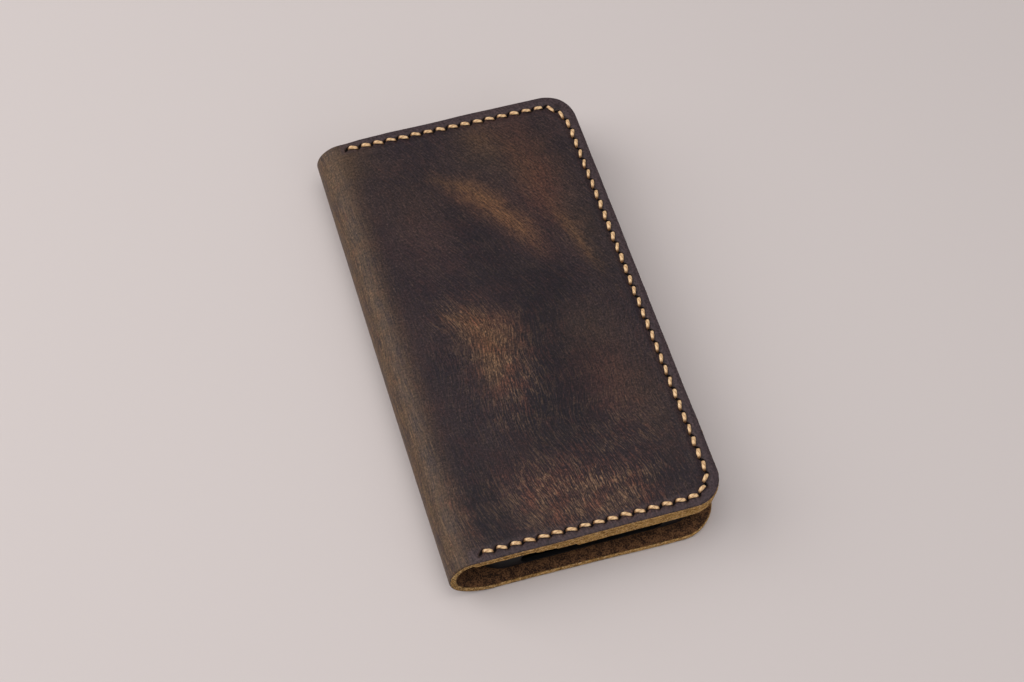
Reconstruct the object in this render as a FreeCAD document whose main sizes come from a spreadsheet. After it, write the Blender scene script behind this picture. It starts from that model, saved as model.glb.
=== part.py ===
"""Leather phone wallet case, modelled closed and lying on its back cover.

Frame: millimetres, +Z up.  X runs from the folded spine (-X) to the fore edge
(+X), Y along the spine.  The origin is the centre of the closed case's footprint,
on the outer face of the back cover, which is the face it rests on.

The outer leather is one strap of hide folded round the spine.  It is modelled as
three panels (back cover, spine, front cover) that meet at two bend lines, because
the hide bends there when the case is opened.  The two bend axes are placed so that
opening both by a quarter turn lays the strap out flat at its true length.
"""
import FreeCAD, Part
import math
import os
import Sketcher

os.makedirs("parts", exist_ok=True)
doc = FreeCAD.newDocument("phone_wallet_case")

# ---------------------------------------------------------------- dimensions
# Driving sizes, in mm and degrees.
D = {
    "closed_height": 18.0,      # outer face to outer face of the closed case
    "hide": 2.0,                # thickness of the outer leather
    "fore_x": 40.85,            # fore edge
    "back_near_y": -74.6,       # back cover, end nearest the reader
    "front_near_y": -72.8,      # front cover, same end: the fold is a little askew
    "front_far_y": 74.6,        # front cover, far end
    "back_far_y": 72.8,         # back cover, far end
    "corner": 9.5,              # radius of the fore corners, front cover and panels
    "back_corner": 12.0,        # the back cover's are rounder
    "low_bend": 19.0,           # outer radius where the back cover lifts off the table
    "low_bend_deg": 36.0,       # how far it turns before the tight bend starts
    "lift": 0.3,                # height of the front cover above the table when opened flat
    "relief": 0.55,             # radius of the crease relieved along each bend line
    "seam_gap_deg": 1.0,        # hairline left between the panels at a bend line
    # inner panels of the front cover
    "ply": 0.8,                 # thickness of each inner panel
    "cash_x": -33.0,            # free edge of the cash pocket panel
    "slot_c_x": -15.5,          # free edges of the three card slots, towards the spine
    "slot_b_x": -9.5,
    "slot_a_x": -3.5,
    "panel_near_y": -72.8,
    "panel_far_y": 74.4,
    # border stitching
    "pitch": 4.0,
    "awl": 0.45,                # radius of a stitch hole
    "thread_leg": 0.38,         # radius of the thread where it passes through
    "stitch_wide": 1.0,
    "stitch_high": 0.3,
    "side_x": 37.45,            # stitch line along the fore edge
    "side_start_y": 60.55,
    "side_count": 32.0,
    "top_y": 70.5,              # stitch line along the far end
    "top_start_x": -31.99,
    "top_count": 17.0,
    "low_y": -70.0,             # stitch line along the near end
    "low_start_x": -30.3,
    "low_count": 16.0,
    "turn_one_x": 35.25, "turn_one_y": 68.0,      # holes round the far corner
    "turn_two_x": 36.95, "turn_two_y": 64.5,
    "turn_three_x": 36.0, "turn_three_y": -66.9,  # holes round the near corner
    "turn_four_x": 33.45, "turn_four_y": -69.3,
    # card slot stitching: two rows, just longer apart than a card
    "card_row_y": 45.2,
    "card_row_x": -12.5,
    "card_row_count": 12.0,
    # phone shell
    "phone_long": 138.6, "phone_wide": 67.5, "phone_deep": 7.4,
    "shell_wall": 1.2,
    "shell_lip": 0.9,           # height of the retaining lip
    "lip_grip": 0.7,            # how far the lip reaches over the phone
    "shell_corner": 10.6, "bay_corner": 9.4, "mouth_corner": 8.7,
    "shell_round": 2.0,         # rounding of the shell's lower outside edge
    "bay_round": 1.0,
    "shell_x": 2.4, "shell_y": -0.2,
    "port_wide": 42.0, "port_low": 2.2, "port_high": 8.0,
    "volume_y": 36.0, "volume_long": 34.0,
    "power_y": 43.0, "power_long": 16.0,
    "button_low": 2.2, "button_high": 8.0,
    # adhesive pad
    "pad_thick": 0.5, "pad_long": 126.0, "pad_x0": -25.0, "pad_x1": 32.0, "pad_corner": 6.0,
    # camera window, through the back cover, the pad and the shell
    "cam_x": 21.0, "cam_y": 57.4,
    "cam_long": 26.0, "cam_high": 12.0,
    "cam_hide_margin": 2.0,     # the hide and the pad are cut this much wider all round
}
# Sizes that follow from the ones above.
beta = math.radians(D["low_bend_deg"])
H, TH, R2 = D["closed_height"], D["hide"], D["low_bend"]
R1 = (H - R2 * (1 - math.cos(beta))) / (1 + math.cos(beta))   # tight bend, outer radius
C1X, C1Z = -D["fore_x"] + R1, H - R1                          # centre of the tight bend
C2X, C2Z = C1X + (R2 - R1) * math.sin(beta), R2               # centre of the low bend
# bend line 1 (back cover to spine): the lower half of the fold, unrolled flat
R1M, R2M = R1 - TH / 2, R2 - TH / 2
run_low = R2M * beta + R1M * (math.pi / 2 - beta)
span_low, rise_low = C2X - (C1X - R1M), C1Z - TH / 2
drop = D["lift"] / 2
# rotation of (x, z) by a quarter turn, opening: (vx, vz) -> (-vz, vx)
axis_one_x = C2X + (rise_low - run_low - span_low - drop) / 2
axis_one_z = TH / 2 + (span_low + rise_low - run_low + drop) / 2
# bend line 2 (spine to front cover): the upper half, a plain quarter circle
run_up = R1M * math.pi / 2
axis_two_x = C1X - run_up / 2 + drop / 2
axis_two_z = H - TH / 2 - (2 * R1M - run_up) / 2 - drop / 2
D.update({
    "tight_bend": R1, "tight_in": R1 - TH, "low_in": R2 - TH,
    "bend_x": C1X, "bend_z": C1Z, "low_x": C2X, "low_z": C2Z,
    "axis_one_x": axis_one_x, "axis_one_z": axis_one_z,
    "axis_two_x": axis_two_x, "axis_two_z": axis_two_z,
})


def at_bend(radius, degrees):
    """A point of the tight bend; 0 degrees is straight down, 90 is the outermost, 180 the top."""
    a = math.radians(degrees)
    return C1X - radius * math.sin(a), C1Z - radius * math.cos(a)


for tag, deg in (("join", D["low_bend_deg"]),
                 ("spine_low", D["low_bend_deg"] + D["seam_gap_deg"]),
                 ("spine_mid", 90.0),
                 ("spine_top", 135.0 - D["seam_gap_deg"]),
                 ("front_start", 135.0)):
    D[tag + "_out_x"], D[tag + "_out_z"] = at_bend(R1, deg)
    D[tag + "_in_x"], D[tag + "_in_z"] = at_bend(R1 - TH, deg)

# ---------------------------------------------------------------- spreadsheet
sheet = doc.addObject("Spreadsheet::Sheet", "Dims")
for row, (alias, value) in enumerate(D.items(), 1):
    sheet.set("A%d" % row, alias)
    sheet.set("B%d" % row, "%.6f" % value)
    sheet.setAlias("B%d" % row, alias)
doc.recompute()


def terms(text):
    """Splits a sum such as 'fore_x-corner' or '0.5*pad_long+2' into (factor, name or None)."""
    out, sign, word = [], 1.0, ""
    for ch in text + "+":
        if ch in "+-":
            if word:
                k, name = 1.0, word
                if "*" in word:
                    a, name = word.split("*")
                    k = float(a)
                if name[0].isdigit():
                    k, name = k * float(name), None
                out.append((sign * k, name))
                word = ""
            sign = -1.0 if ch == "-" else 1.0
        else:
            word += ch
    return out


def val(text):
    return sum(k * (D[name] if name else 1.0) for k, name in terms(text))


def expr(text):
    return " + ".join("%.6f * Dims.%s" % (k, name) if name else "%.6f" % k for k, name in terms(text))


# ---------------------------------------------------------------- helpers
def new_body(label):
    body = doc.addObject("PartDesign::Body", label)
    body.Label = label
    return body


def origin_of(body, role):
    return next(o for o in body.Origin.OriginFeatures if o.Role == role)


def new_sketch(body, name, role, offset=None):
    sk = body.newObject("Sketcher::SketchObject", name)
    sk.AttachmentSupport = [(origin_of(body, role), "")]
    sk.MapMode = "FlatFace"
    if offset:
        sk.setExpression("AttachmentOffset.Base.z", expr(offset))
    return sk


def pin(sk, geo, pos, ex, ey):
    """Places a sketch point, bound to the spreadsheet."""
    for kind, text, axis in (("DistanceX", ex, -2), ("DistanceY", ey, -1)):
        v = val(text)
        if abs(v) < 1e-9:
            sk.addConstraint(Sketcher.Constraint("PointOnObject", geo, pos, axis))
        else:
            c = sk.addConstraint(Sketcher.Constraint(kind, -1, 1, geo, pos, v))
            sk.setExpression("Constraints[%d]" % c, expr(text))


def profile(sk, points, arcs=None):
    """A closed outline through points; arcs gives {edge number: (radius, centre x, centre y)}."""
    arcs = arcs or {}
    n, ends = len(points), []
    for i in range(n):
        a = FreeCAD.Vector(val(points[i][0]), val(points[i][1]), 0)
        j = (i + 1) % n
        b = FreeCAD.Vector(val(points[j][0]), val(points[j][1]), 0)
        if i in arcs:
            r, cx, cy = arcs[i]
            c = FreeCAD.Vector(val(cx), val(cy), 0)
            mid = (a + b) * 0.5 - c
            mid.normalize()
            # sketch arcs run anticlockwise, so a clockwise edge is drawn from its far end
            flip = (a - c).cross(b - c).z < 0
            first, last = (b, a) if flip else (a, b)
            g = sk.addGeometry(Part.Arc(first, c + mid * val(r), last), False)
            ends.append((g, 2, 1) if flip else (g, 1, 2))
        else:
            ends.append((sk.addGeometry(Part.LineSegment(a, b), False), 1, 2))
    for i in range(n):
        last = ends[i - 1]
        sk.addConstraint(Sketcher.Constraint("Coincident", last[0], last[2], ends[i][0], ends[i][1]))
    for i in range(n):
        pin(sk, ends[i][0], ends[i][1], points[i][0], points[i][1])
    for i, (r, cx, cy) in arcs.items():
        c = sk.addConstraint(Sketcher.Constraint("Radius", ends[i][0], val(r)))
        sk.setExpression("Constraints[%d]" % c, expr(r))


def rounded(sk, x0, x1, y0, y1, r, right_only=False):
    """A rectangle with rounded corners; right_only rounds just the two at x1."""
    pts, arcs = [], {}
    if right_only:
        pts = [(x0, y0), (x1 + "-" + r, y0), (x1, y0 + "+" + r), (x1, y1 + "-" + r), (x1 + "-" + r, y1), (x0, y1)]
        arcs = {1: (r, x1 + "-" + r, y0 + "+" + r), 3: (r, x1 + "-" + r, y1 + "-" + r)}
    else:
        pts = [(x0 + "+" + r, y0), (x1 + "-" + r, y0), (x1, y0 + "+" + r), (x1, y1 + "-" + r),
               (x1 + "-" + r, y1), (x0 + "+" + r, y1), (x0, y1 + "-" + r), (x0, y0 + "+" + r)]
        arcs = {1: (r, x1 + "-" + r, y0 + "+" + r), 3: (r, x1 + "-" + r, y1 + "-" + r),
                5: (r, x0 + "+" + r, y1 + "-" + r), 7: (r, x0 + "+" + r, y0 + "+" + r)}
    profile(sk, pts, arcs)


def circles(sk, centres, radius):
    for x, y in centres:
        g = sk.addGeometry(Part.Circle(FreeCAD.Vector(val(x), val(y), 0), FreeCAD.Vector(0, 0, 1), val(radius)), False)
        pin(sk, g, 3, x, y)
        c = sk.addConstraint(Sketcher.Constraint("Radius", g, val(radius)))
        sk.setExpression("Constraints[%d]" % c, expr(radius))


def pad(body, sk, length, both=False, name="Pad"):
    f = body.newObject("PartDesign::Pad", name)
    f.Profile = sk
    if both:
        f.SideType = "Symmetric"
    f.setExpression("Length", expr(length))
    doc.recompute()
    return f


def pocket(body, sk, length, both=False, reverse=False, name="Pocket"):
    """Cuts the sketch away, and stops if it cut nothing."""
    before = body.Shape.Volume
    f = body.newObject("PartDesign::Pocket", name)
    f.Profile = sk
    if both:
        f.SideType = "Symmetric"
    f.Reversed = reverse
    f.setExpression("Length", expr(length))
    doc.recompute()
    if body.Shape.Volume > before - 1e-6:
        raise RuntimeError("%s cut nothing in %s" % (name, body.Label))
    return f


def row_of(body, feature, role, count, reverse, name):
    """Repeats a hole along a body axis at the stitch pitch."""
    f = body.newObject("PartDesign::LinearPattern", name)
    f.Originals = [feature]
    f.Direction = (origin_of(body, role), [""])
    f.Reversed = reverse
    f.setExpression("Length", "Dims.pitch * (Dims.%s - 1)" % count)
    f.setExpression("Occurrences", "Dims.%s" % count)
    body.Tip = f
    doc.recompute()
    return f


def fillet(body, pick, radius, name="Fillet"):
    """Rounds the edges of the body that pick(edge) chooses."""
    base = body.Tip
    names = ["Edge%d" % (i + 1) for i, e in enumerate(base.Shape.Edges) if pick(e)]
    if not names:
        raise RuntimeError("no edge to round in " + body.Label)
    f = body.newObject("PartDesign::Fillet", name)
    f.Base = (base, names)
    f.setExpression("Radius", expr(radius))
    doc.recompute()
    return f


def stitch_holes(body):
    """The awl holes of the border stitching, on the far, fore and near sides and round the corners."""
    before = body.Shape.Volume
    for tag, x, y, role, count, rev in (
            ("far", "top_start_x", "top_y", "X_Axis", "top_count", False),
            ("fore", "side_x", "side_start_y", "Y_Axis", "side_count", True),
            ("near", "low_start_x", "low_y", "X_Axis", "low_count", False)):
        sk = new_sketch(body, tag + "_hole_sketch", "XY_Plane")
        circles(sk, [(x, y)], "awl")
        hole = pocket(body, sk, "60", both=True, name=tag + "_hole")
        row_of(body, hole, role, count, rev, tag + "_holes")
    sk = new_sketch(body, "corner_hole_sketch", "XY_Plane")
    circles(sk, [("turn_%s_x" % k, "turn_%s_y" % k) for k in ("one", "two", "three", "four")], "awl")
    pocket(body, sk, "60", both=True, name="corner_holes")


def strap_ends(body):
    """Trims both ends of a strap panel to the slightly askew ends of the folded hide."""
    sk = new_sketch(body, "end_trim_sketch", "YZ_Plane")
    n0, n1, f0, f1 = "back_near_y", "front_near_y", "back_far_y", "front_far_y"
    # both end lines carry on above and below the case at the same slope
    low_near, low_far = n0 + "-" + n1 + "+" + n0, f0 + "-" + f1 + "+" + f0
    high_near, high_far = n1 + "-" + n0 + "+" + n1, f1 + "-" + f0 + "+" + f1
    zl, zh = "-closed_height", "2*closed_height"
    profile(sk, [("-90", zl), (low_near, zl), (high_near, zh), ("-90", zh)])
    profile(sk, [(low_far, zl), ("90", zl), ("90", zh), (high_far, zh)])
    pocket(body, sk, "200", both=True, name="end_trim")


def crease(body, which):
    """Relieves the outside of the hide along a bend line, so that the panels turn without touching."""
    sk = new_sketch(body, "crease_sketch_" + which, "XZ_Plane")
    circles(sk, [("axis_%s_x" % which, "axis_%s_z" % which)], "relief")
    pocket(body, sk, "200", both=True, name="crease_" + which)


def upright_fore_edge(e):
    if len(e.Vertexes) != 2:
        return False
    a, b = e.Vertexes[0].Point, e.Vertexes[1].Point
    return abs(a.x - D["fore_x"]) < 1e-3 and abs(b.x - D["fore_x"]) < 1e-3 and abs(a.z - b.z) > 0.5


# ---------------------------------------------------------------- outer leather
back = new_body("back_cover_leather")
sk = new_sketch(back, "section", "XZ_Plane")
profile(sk,
        [("fore_x", "0"), ("low_x", "0"), ("join_out_x", "join_out_z"), ("join_in_x", "join_in_z"),
         ("low_x", "hide"), ("fore_x", "hide")],
        {1: ("low_bend", "low_x", "low_z"), 3: ("low_in", "low_x", "low_z")})
pad(back, sk, "170", both=True)
strap_ends(back)
crease(back, "one")
fillet(back, upright_fore_edge, "back_corner", "fore_corners")
sk = new_sketch(back, "camera_window_sketch", "XY_Plane")
CW = ("cam_x-0.5*cam_long-cam_hide_margin", "cam_x+0.5*cam_long+cam_hide_margin",
      "cam_y-0.5*cam_high-cam_hide_margin", "cam_y+0.5*cam_high+cam_hide_margin")
rounded(sk, *CW, "7")
pocket(back, sk, "20", both=True, name="camera_window")

spine = new_body("spine_leather")
sk = new_sketch(spine, "section", "XZ_Plane")
profile(sk,
        [("spine_low_out_x", "spine_low_out_z"), ("spine_mid_out_x", "spine_mid_out_z"),
         ("spine_top_out_x", "spine_top_out_z"), ("spine_top_in_x", "spine_top_in_z"),
         ("spine_mid_in_x", "spine_mid_in_z"), ("spine_low_in_x", "spine_low_in_z")],
        {0: ("tight_bend", "bend_x", "bend_z"), 1: ("tight_bend", "bend_x", "bend_z"),
         3: ("tight_in", "bend_x", "bend_z"), 4: ("tight_in", "bend_x", "bend_z")})
pad(spine, sk, "170", both=True)
strap_ends(spine)
crease(spine, "one")
crease(spine, "two")

front = new_body("front_cover_leather")
sk = new_sketch(front, "section", "XZ_Plane")
profile(sk,
        [("front_start_out_x", "front_start_out_z"), ("bend_x", "closed_height"),
         ("fore_x", "closed_height"), ("fore_x", "closed_height-hide"),
         ("bend_x", "closed_height-hide"), ("front_start_in_x", "front_start_in_z")],
        {0: ("tight_bend", "bend_x", "bend_z"), 4: ("tight_in", "bend_x", "bend_z")})
pad(front, sk, "170", both=True)
strap_ends(front)
crease(front, "two")
fillet(front, upright_fore_edge, "corner", "fore_corners")
stitch_holes(front)

bodies = [back, spine, front]

# ---------------------------------------------------------------- inner panels of the front cover
for label, edge, below in (("cash_pocket_panel", "cash_x", "closed_height-hide-ply"),
                           ("card_slot_inner_panel", "slot_c_x", "closed_height-hide-2*ply"),
                           ("card_slot_middle_panel", "slot_b_x", "closed_height-hide-3*ply"),
                           ("card_slot_outer_panel", "slot_a_x", "closed_height-hide-4*ply")):
    body = new_body(label)
    sk = new_sketch(body, "outline", "XY_Plane")
    rounded(sk, edge, "fore_x", "panel_near_y", "panel_far_y", "corner", right_only=True)
    pad(body, sk, "ply")
    body.setExpression("Placement.Base.z", expr(below))
    doc.recompute()
    # the holes are cut wherever the panel reaches under the stitch line
    edge_x = val(edge)
    for tag, x, y, role, count, rev in (
            ("far", "top_start_x", "top_y", "X_Axis", "top_count", False),
            ("fore", "side_x", "side_start_y", "Y_Axis", "side_count", True),
            ("near", "low_start_x", "low_y", "X_Axis", "low_count", False)):
        if role == "X_Axis":
            skipped = max(0, math.ceil((edge_x + D["awl"] + 0.3 - val(x)) / D["pitch"]))
            first = "%s+%d*pitch" % (x, skipped) if skipped else x
        else:
            skipped, first = 0, x
        sk = new_sketch(body, tag + "_hole_sketch", "XY_Plane")
        circles(sk, [(first, y)], "awl")
        hole = pocket(body, sk, "60", both=True, name=tag + "_hole")
        f = body.newObject("PartDesign::LinearPattern", tag + "_holes")
        f.Originals = [hole]
        f.Direction = (origin_of(body, role), [""])
        f.Reversed = rev
        f.setExpression("Length", "Dims.pitch * (Dims.%s - %d)" % (count, skipped + 1))
        f.setExpression("Occurrences", "Dims.%s - %d" % (count, skipped))
        body.Tip = f
        doc.recompute()
    sk = new_sketch(body, "corner_hole_sketch", "XY_Plane")
    circles(sk, [("turn_%s_x" % k, "turn_%s_y" % k) for k in ("one", "two", "three", "four")], "awl")
    pocket(body, sk, "60", both=True, name="corner_holes")
    bodies.append(body)

# ---------------------------------------------------------------- adhesive pad
padb = new_body("shell_adhesive_pad")
sk = new_sketch(padb, "outline", "XY_Plane")
rounded(sk, "pad_x0", "pad_x1", "shell_y-0.5*pad_long", "shell_y+0.5*pad_long", "pad_corner")
pad(padb, sk, "pad_thick")
sk = new_sketch(padb, "camera_window_sketch", "XY_Plane")
# the pad's corner by the camera is left away altogether
profile(sk, [(CW[0], CW[2]), ("60", CW[2]), ("60", "90"), (CW[0], "90")])
pocket(padb, sk, "20", both=True, name="camera_corner")
padb.setExpression("Placement.Base.z", expr("hide"))
bodies.append(padb)

# ---------------------------------------------------------------- phone shell
shell = new_body("phone_shell")
sk = new_sketch(shell, "outline", "XY_Plane")
rounded(sk, "-0.5*phone_wide-shell_wall", "0.5*phone_wide+shell_wall",
        "-0.5*phone_long-shell_wall", "0.5*phone_long+shell_wall", "shell_corner")
pad(shell, sk, "shell_wall+phone_deep+shell_lip")
# the mouth, narrower than the bay, so that the lip snaps over the phone
sk = new_sketch(shell, "mouth_sketch", "XY_Plane", "shell_wall+phone_deep+shell_lip")
rounded(sk, "-0.5*phone_wide+lip_grip", "0.5*phone_wide-lip_grip",
        "-0.5*phone_long+lip_grip", "0.5*phone_long-lip_grip", "mouth_corner")
pocket(shell, sk, "shell_lip+0.5*phone_deep", name="mouth")
# the bay under the lip, cut upwards from the floor
sk = new_sketch(shell, "bay_sketch", "XY_Plane", "shell_wall")
rounded(sk, "-0.5*phone_wide", "0.5*phone_wide", "-0.5*phone_long", "0.5*phone_long", "bay_corner")
pocket(shell, sk, "phone_deep", reverse=True, name="phone_bay")
fillet(shell, lambda e: abs(e.BoundBox.ZMax - D["shell_wall"]) < 1e-6 and abs(e.BoundBox.ZMin - D["shell_wall"]) < 1e-6,
       "bay_round", "bay_edge_round")
fillet(shell, lambda e: abs(e.BoundBox.ZMax) < 1e-6, "shell_round", "lower_edge_round")
sk = new_sketch(shell, "camera_window_sketch", "XY_Plane")
rounded(sk, "cam_x-0.5*cam_long-shell_x", "cam_x+0.5*cam_long-shell_x",
        "cam_y-0.5*cam_high-shell_y", "cam_y+0.5*cam_high-shell_y", "5.5")
pocket(shell, sk, "5", both=True, name="camera_window")
# charging and speaker opening in the near end wall; the sketch plane's normal is -Y
sk = new_sketch(shell, "port_sketch", "XZ_Plane", "0.5*phone_long-3")
rounded(sk, "-0.5*port_wide", "0.5*port_wide", "port_low", "port_high", "2.5")
pocket(shell, sk, "10", reverse=True, name="port_opening")
# button openings in the side walls; the sketch plane's normal is +X
for tag, off, yc, ln in (("volume", "-0.5*phone_wide-5", "volume_y", "volume_long"),
                         ("power", "0.5*phone_wide-3", "power_y", "power_long")):
    sk = new_sketch(shell, tag + "_sketch", "YZ_Plane", off)
    rounded(sk, "%s-0.5*%s" % (yc, ln), "%s+0.5*%s" % (yc, ln), "button_low", "button_high", "2.4")
    pocket(shell, sk, "8", reverse=True, name=tag + "_opening")
shell.setExpression("Placement.Base.x", expr("shell_x"))
shell.setExpression("Placement.Base.y", expr("shell_y"))
shell.setExpression("Placement.Base.z", expr("hide+pad_thick"))
bodies.append(shell)
doc.recompute()


# ---------------------------------------------------------------- threads
def cell(alias):
    return float(sheet.get(alias))


def bar(a, b, z0, z1, wide):
    """A stitch lying between two holes: a flat bar with softened long edges."""
    dx, dy = b[0] - a[0], b[1] - a[1]
    length = math.hypot(dx, dy)
    s = Part.makeBox(length, wide, z1 - z0, FreeCAD.Vector(0, -wide / 2, 0))
    s.rotate(FreeCAD.Vector(0, 0, 0), FreeCAD.Vector(0, 0, 1), math.degrees(math.atan2(dy, dx)))
    s.translate(FreeCAD.Vector(a[0], a[1], z0))
    return s


def stitch(a, b, inside_z, outside_z, high, wide, leg, first, last):
    """One saddle stitch: thread on both faces from hole a to hole b, joined down through hole a."""
    dx, dy = b[0] - a[0], b[1] - a[1]
    length = math.hypot(dx, dy)
    ux, uy = dx / length, dy / length
    start = (a[0] - ux * leg, a[1] - uy * leg)
    stop_gap = -leg if last else leg + 0.2
    stop = (b[0] - ux * stop_gap, b[1] - uy * stop_gap)
    s = bar(start, stop, outside_z, outside_z + high, wide)
    s = s.fuse(bar(start, stop, inside_z - high, inside_z, wide))
    holes = [a] + ([b] if last else [])
    for hx, hy in holes:
        s = s.fuse(Part.makeCylinder(leg, outside_z - inside_z + high, FreeCAD.Vector(hx, hy, inside_z - high / 2)))
    return s.removeSplitter()


top_z = cell("closed_height")
under = top_z - cell("hide")
ply = cell("ply")


def inner_face(x):
    """Height of the inside face of the front cover's stack at x."""
    n = sum(1 for a in ("cash_x", "slot_c_x", "slot_b_x", "slot_a_x") if x > cell(a) - 0.6)
    return under - n * ply


pitch = cell("pitch")
holes = [(cell("top_start_x") + i * pitch, cell("top_y")) for i in range(int(cell("top_count")))]
holes += [(cell("turn_one_x"), cell("turn_one_y")), (cell("turn_two_x"), cell("turn_two_y"))]
holes += [(cell("side_x"), cell("side_start_y") - i * pitch) for i in range(int(cell("side_count")))]
holes += [(cell("turn_three_x"), cell("turn_three_y")), (cell("turn_four_x"), cell("turn_four_y"))]
holes += [(cell("low_start_x") + i * pitch, cell("low_y")) for i in range(int(cell("low_count")) - 1, -1, -1)]
solids = []
for i in range(len(holes) - 1):
    a, b = holes[i], holes[i + 1]
    z_in = min(inner_face(a[0]), inner_face(b[0]))
    solids.append(stitch(a, b, z_in, top_z, cell("stitch_high"), cell("stitch_wide"), cell("thread_leg"),
                         i == 0, i == len(holes) - 2))
border = doc.addObject("Part::Feature", "border_stitching")
border.Label = "border_stitching"
border.Shape = Part.makeCompound(solids)
border.Placement = FreeCAD.Placement()
threads = [border]

for label, side in (("card_stitching_far", 1.0), ("card_stitching_near", -1.0)):
    y = side * cell("card_row_y") + cell("shell_y")
    row = [(cell("card_row_x") + i * pitch, y) for i in range(int(cell("card_row_count")) + 1)]
    solids = []
    for i in range(len(row) - 1):
        z_in = min(inner_face(row[i][0]), inner_face(row[i + 1][0]))
        # the hidden side of this row lies pressed into the back of the cash pocket panel
        solids.append(stitch(row[i], row[i + 1], z_in, under - cell("stitch_high"), cell("stitch_high"),
                             0.8 * cell("stitch_wide"), cell("thread_leg"), i == 0, i == len(row) - 2))
    f = doc.addObject("Part::Feature", label)
    f.Label = label
    f.Shape = Part.makeCompound(solids)
    f.Placement = FreeCAD.Placement()
    threads.append(f)

# ---------------------------------------------------------------- check and write
doc.recompute()
for o in doc.Objects:
    if "Invalid" in o.State or "Error" in o.State:
        raise RuntimeError("%s failed: %s" % (o.Name, o.State))
for o in bodies + threads:
    s = o.Shape
    if s.isNull() or not s.isValid() or s.Volume <= 0:
        raise RuntimeError("bad shape: " + o.Label)
for o in bodies + threads:
    o.Shape.exportStep("parts/%s.step" % o.Label)
    bb = o.Shape.BoundBox
    print("%-24s solids %3d vol %9.1f  x %7.2f %7.2f  y %7.2f %7.2f  z %6.2f %6.2f" % (
        o.Label, len(o.Shape.Solids), o.Shape.Volume, bb.XMin, bb.XMax, bb.YMin, bb.YMax, bb.ZMin, bb.ZMax))
print("bend line 1 at x %.4f z %.4f" % (axis_one_x, axis_one_z))
print("bend line 2 at x %.4f z %.4f" % (axis_two_x, axis_two_z))
print("tight bend radius %.3f, centre %.3f %.3f; low bend centre x %.3f" % (R1, C1X, C1Z, C2X))
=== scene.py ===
"""Looks of the phone wallet case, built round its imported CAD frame. All lengths in the code are millimetres until mesh() turns them into metres."""

import math

import bpy
import numpy as np
from mathutils import Matrix, Vector


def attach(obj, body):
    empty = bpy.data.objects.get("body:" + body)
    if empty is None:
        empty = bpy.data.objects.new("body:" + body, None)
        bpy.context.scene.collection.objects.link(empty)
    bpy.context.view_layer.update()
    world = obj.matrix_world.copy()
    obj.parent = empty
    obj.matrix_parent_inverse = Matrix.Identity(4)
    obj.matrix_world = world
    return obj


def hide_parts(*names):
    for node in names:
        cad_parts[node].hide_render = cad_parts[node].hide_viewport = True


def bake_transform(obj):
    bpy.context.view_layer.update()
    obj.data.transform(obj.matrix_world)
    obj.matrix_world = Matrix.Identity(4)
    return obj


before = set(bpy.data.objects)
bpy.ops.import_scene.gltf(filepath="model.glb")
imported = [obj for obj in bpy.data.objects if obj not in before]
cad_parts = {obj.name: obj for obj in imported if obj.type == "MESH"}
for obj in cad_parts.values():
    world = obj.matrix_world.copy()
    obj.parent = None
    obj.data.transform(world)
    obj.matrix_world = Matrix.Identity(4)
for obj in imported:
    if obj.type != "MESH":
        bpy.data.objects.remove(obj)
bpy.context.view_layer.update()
scene = bpy.context.scene

# --------------------------------------------------------------------------
# small numeric helpers
# --------------------------------------------------------------------------


def sstep(a, b, x):
    t = np.clip((np.asarray(x, float) - a) / (b - a), 0, 1)
    return t * t * (3 - 2 * t)


def lattice(seed):
    return np.random.default_rng(seed).random((256, 256)) * 2 * np.pi


_lat = {}


def perlin(x, y, seed):
    if seed not in _lat:
        _lat[seed] = lattice(seed)
    g = _lat[seed]
    x, y = np.asarray(x, float), np.asarray(y, float)
    xi, yi = np.floor(x).astype(int), np.floor(y).astype(int)
    xf, yf = x - xi, y - yi
    u = xf * xf * xf * (xf * (xf * 6 - 15) + 10)
    v = yf * yf * yf * (yf * (yf * 6 - 15) + 10)

    def grad(ix, iy, dx, dy):
        a = g[ix % 256, iy % 256]
        return np.cos(a) * dx + np.sin(a) * dy

    n0 = grad(xi, yi, xf, yf) * (1 - u) + grad(xi + 1, yi, xf - 1, yf) * u
    n1 = grad(xi, yi + 1, xf, yf - 1) * (1 - u) + grad(xi + 1, yi + 1, xf - 1, yf - 1) * u
    return (n0 * (1 - v) + n1 * v) * 1.6


def fbm(x, y, size, seed, octaves=3, gain=0.5):
    """Noise of about -1 to 1 whose largest features are size mm across."""
    out, amp, k, total = 0.0, 1.0, 1.0 / size, 0.0
    for o in range(octaves):
        out = out + amp * perlin(x * k + 17.3 * o, y * k - 9.1 * o, seed + o)
        total += amp
        amp *= gain
        k *= 2
    return out / total


def lin(r, g, b):
    """An sRGB colour of 0 to 255 as a linear RGBA."""
    f = lambda c: c / 12.92 if c <= 0.04045 else ((c + 0.055) / 1.055) ** 2.4
    return (f(r / 255), f(g / 255), f(b / 255), 1.0)


# --------------------------------------------------------------------------
# the strap's section and outline
# --------------------------------------------------------------------------
HIDE = 2.0
RA, RB = 19.0, 7.944
TA = math.radians(36)
L1 = RA * TA
L2 = RB * (math.pi - TA)
SEAM = L1 + RB * (math.pi / 2 - TA)
FORE = 40.85
CORNER = 9.5
CORNER_BACK = 12.0
S_FORE_FRONT = L1 + L2 + FORE + 32.906
S_FORE_BACK = -(FORE + 26.407)


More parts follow.
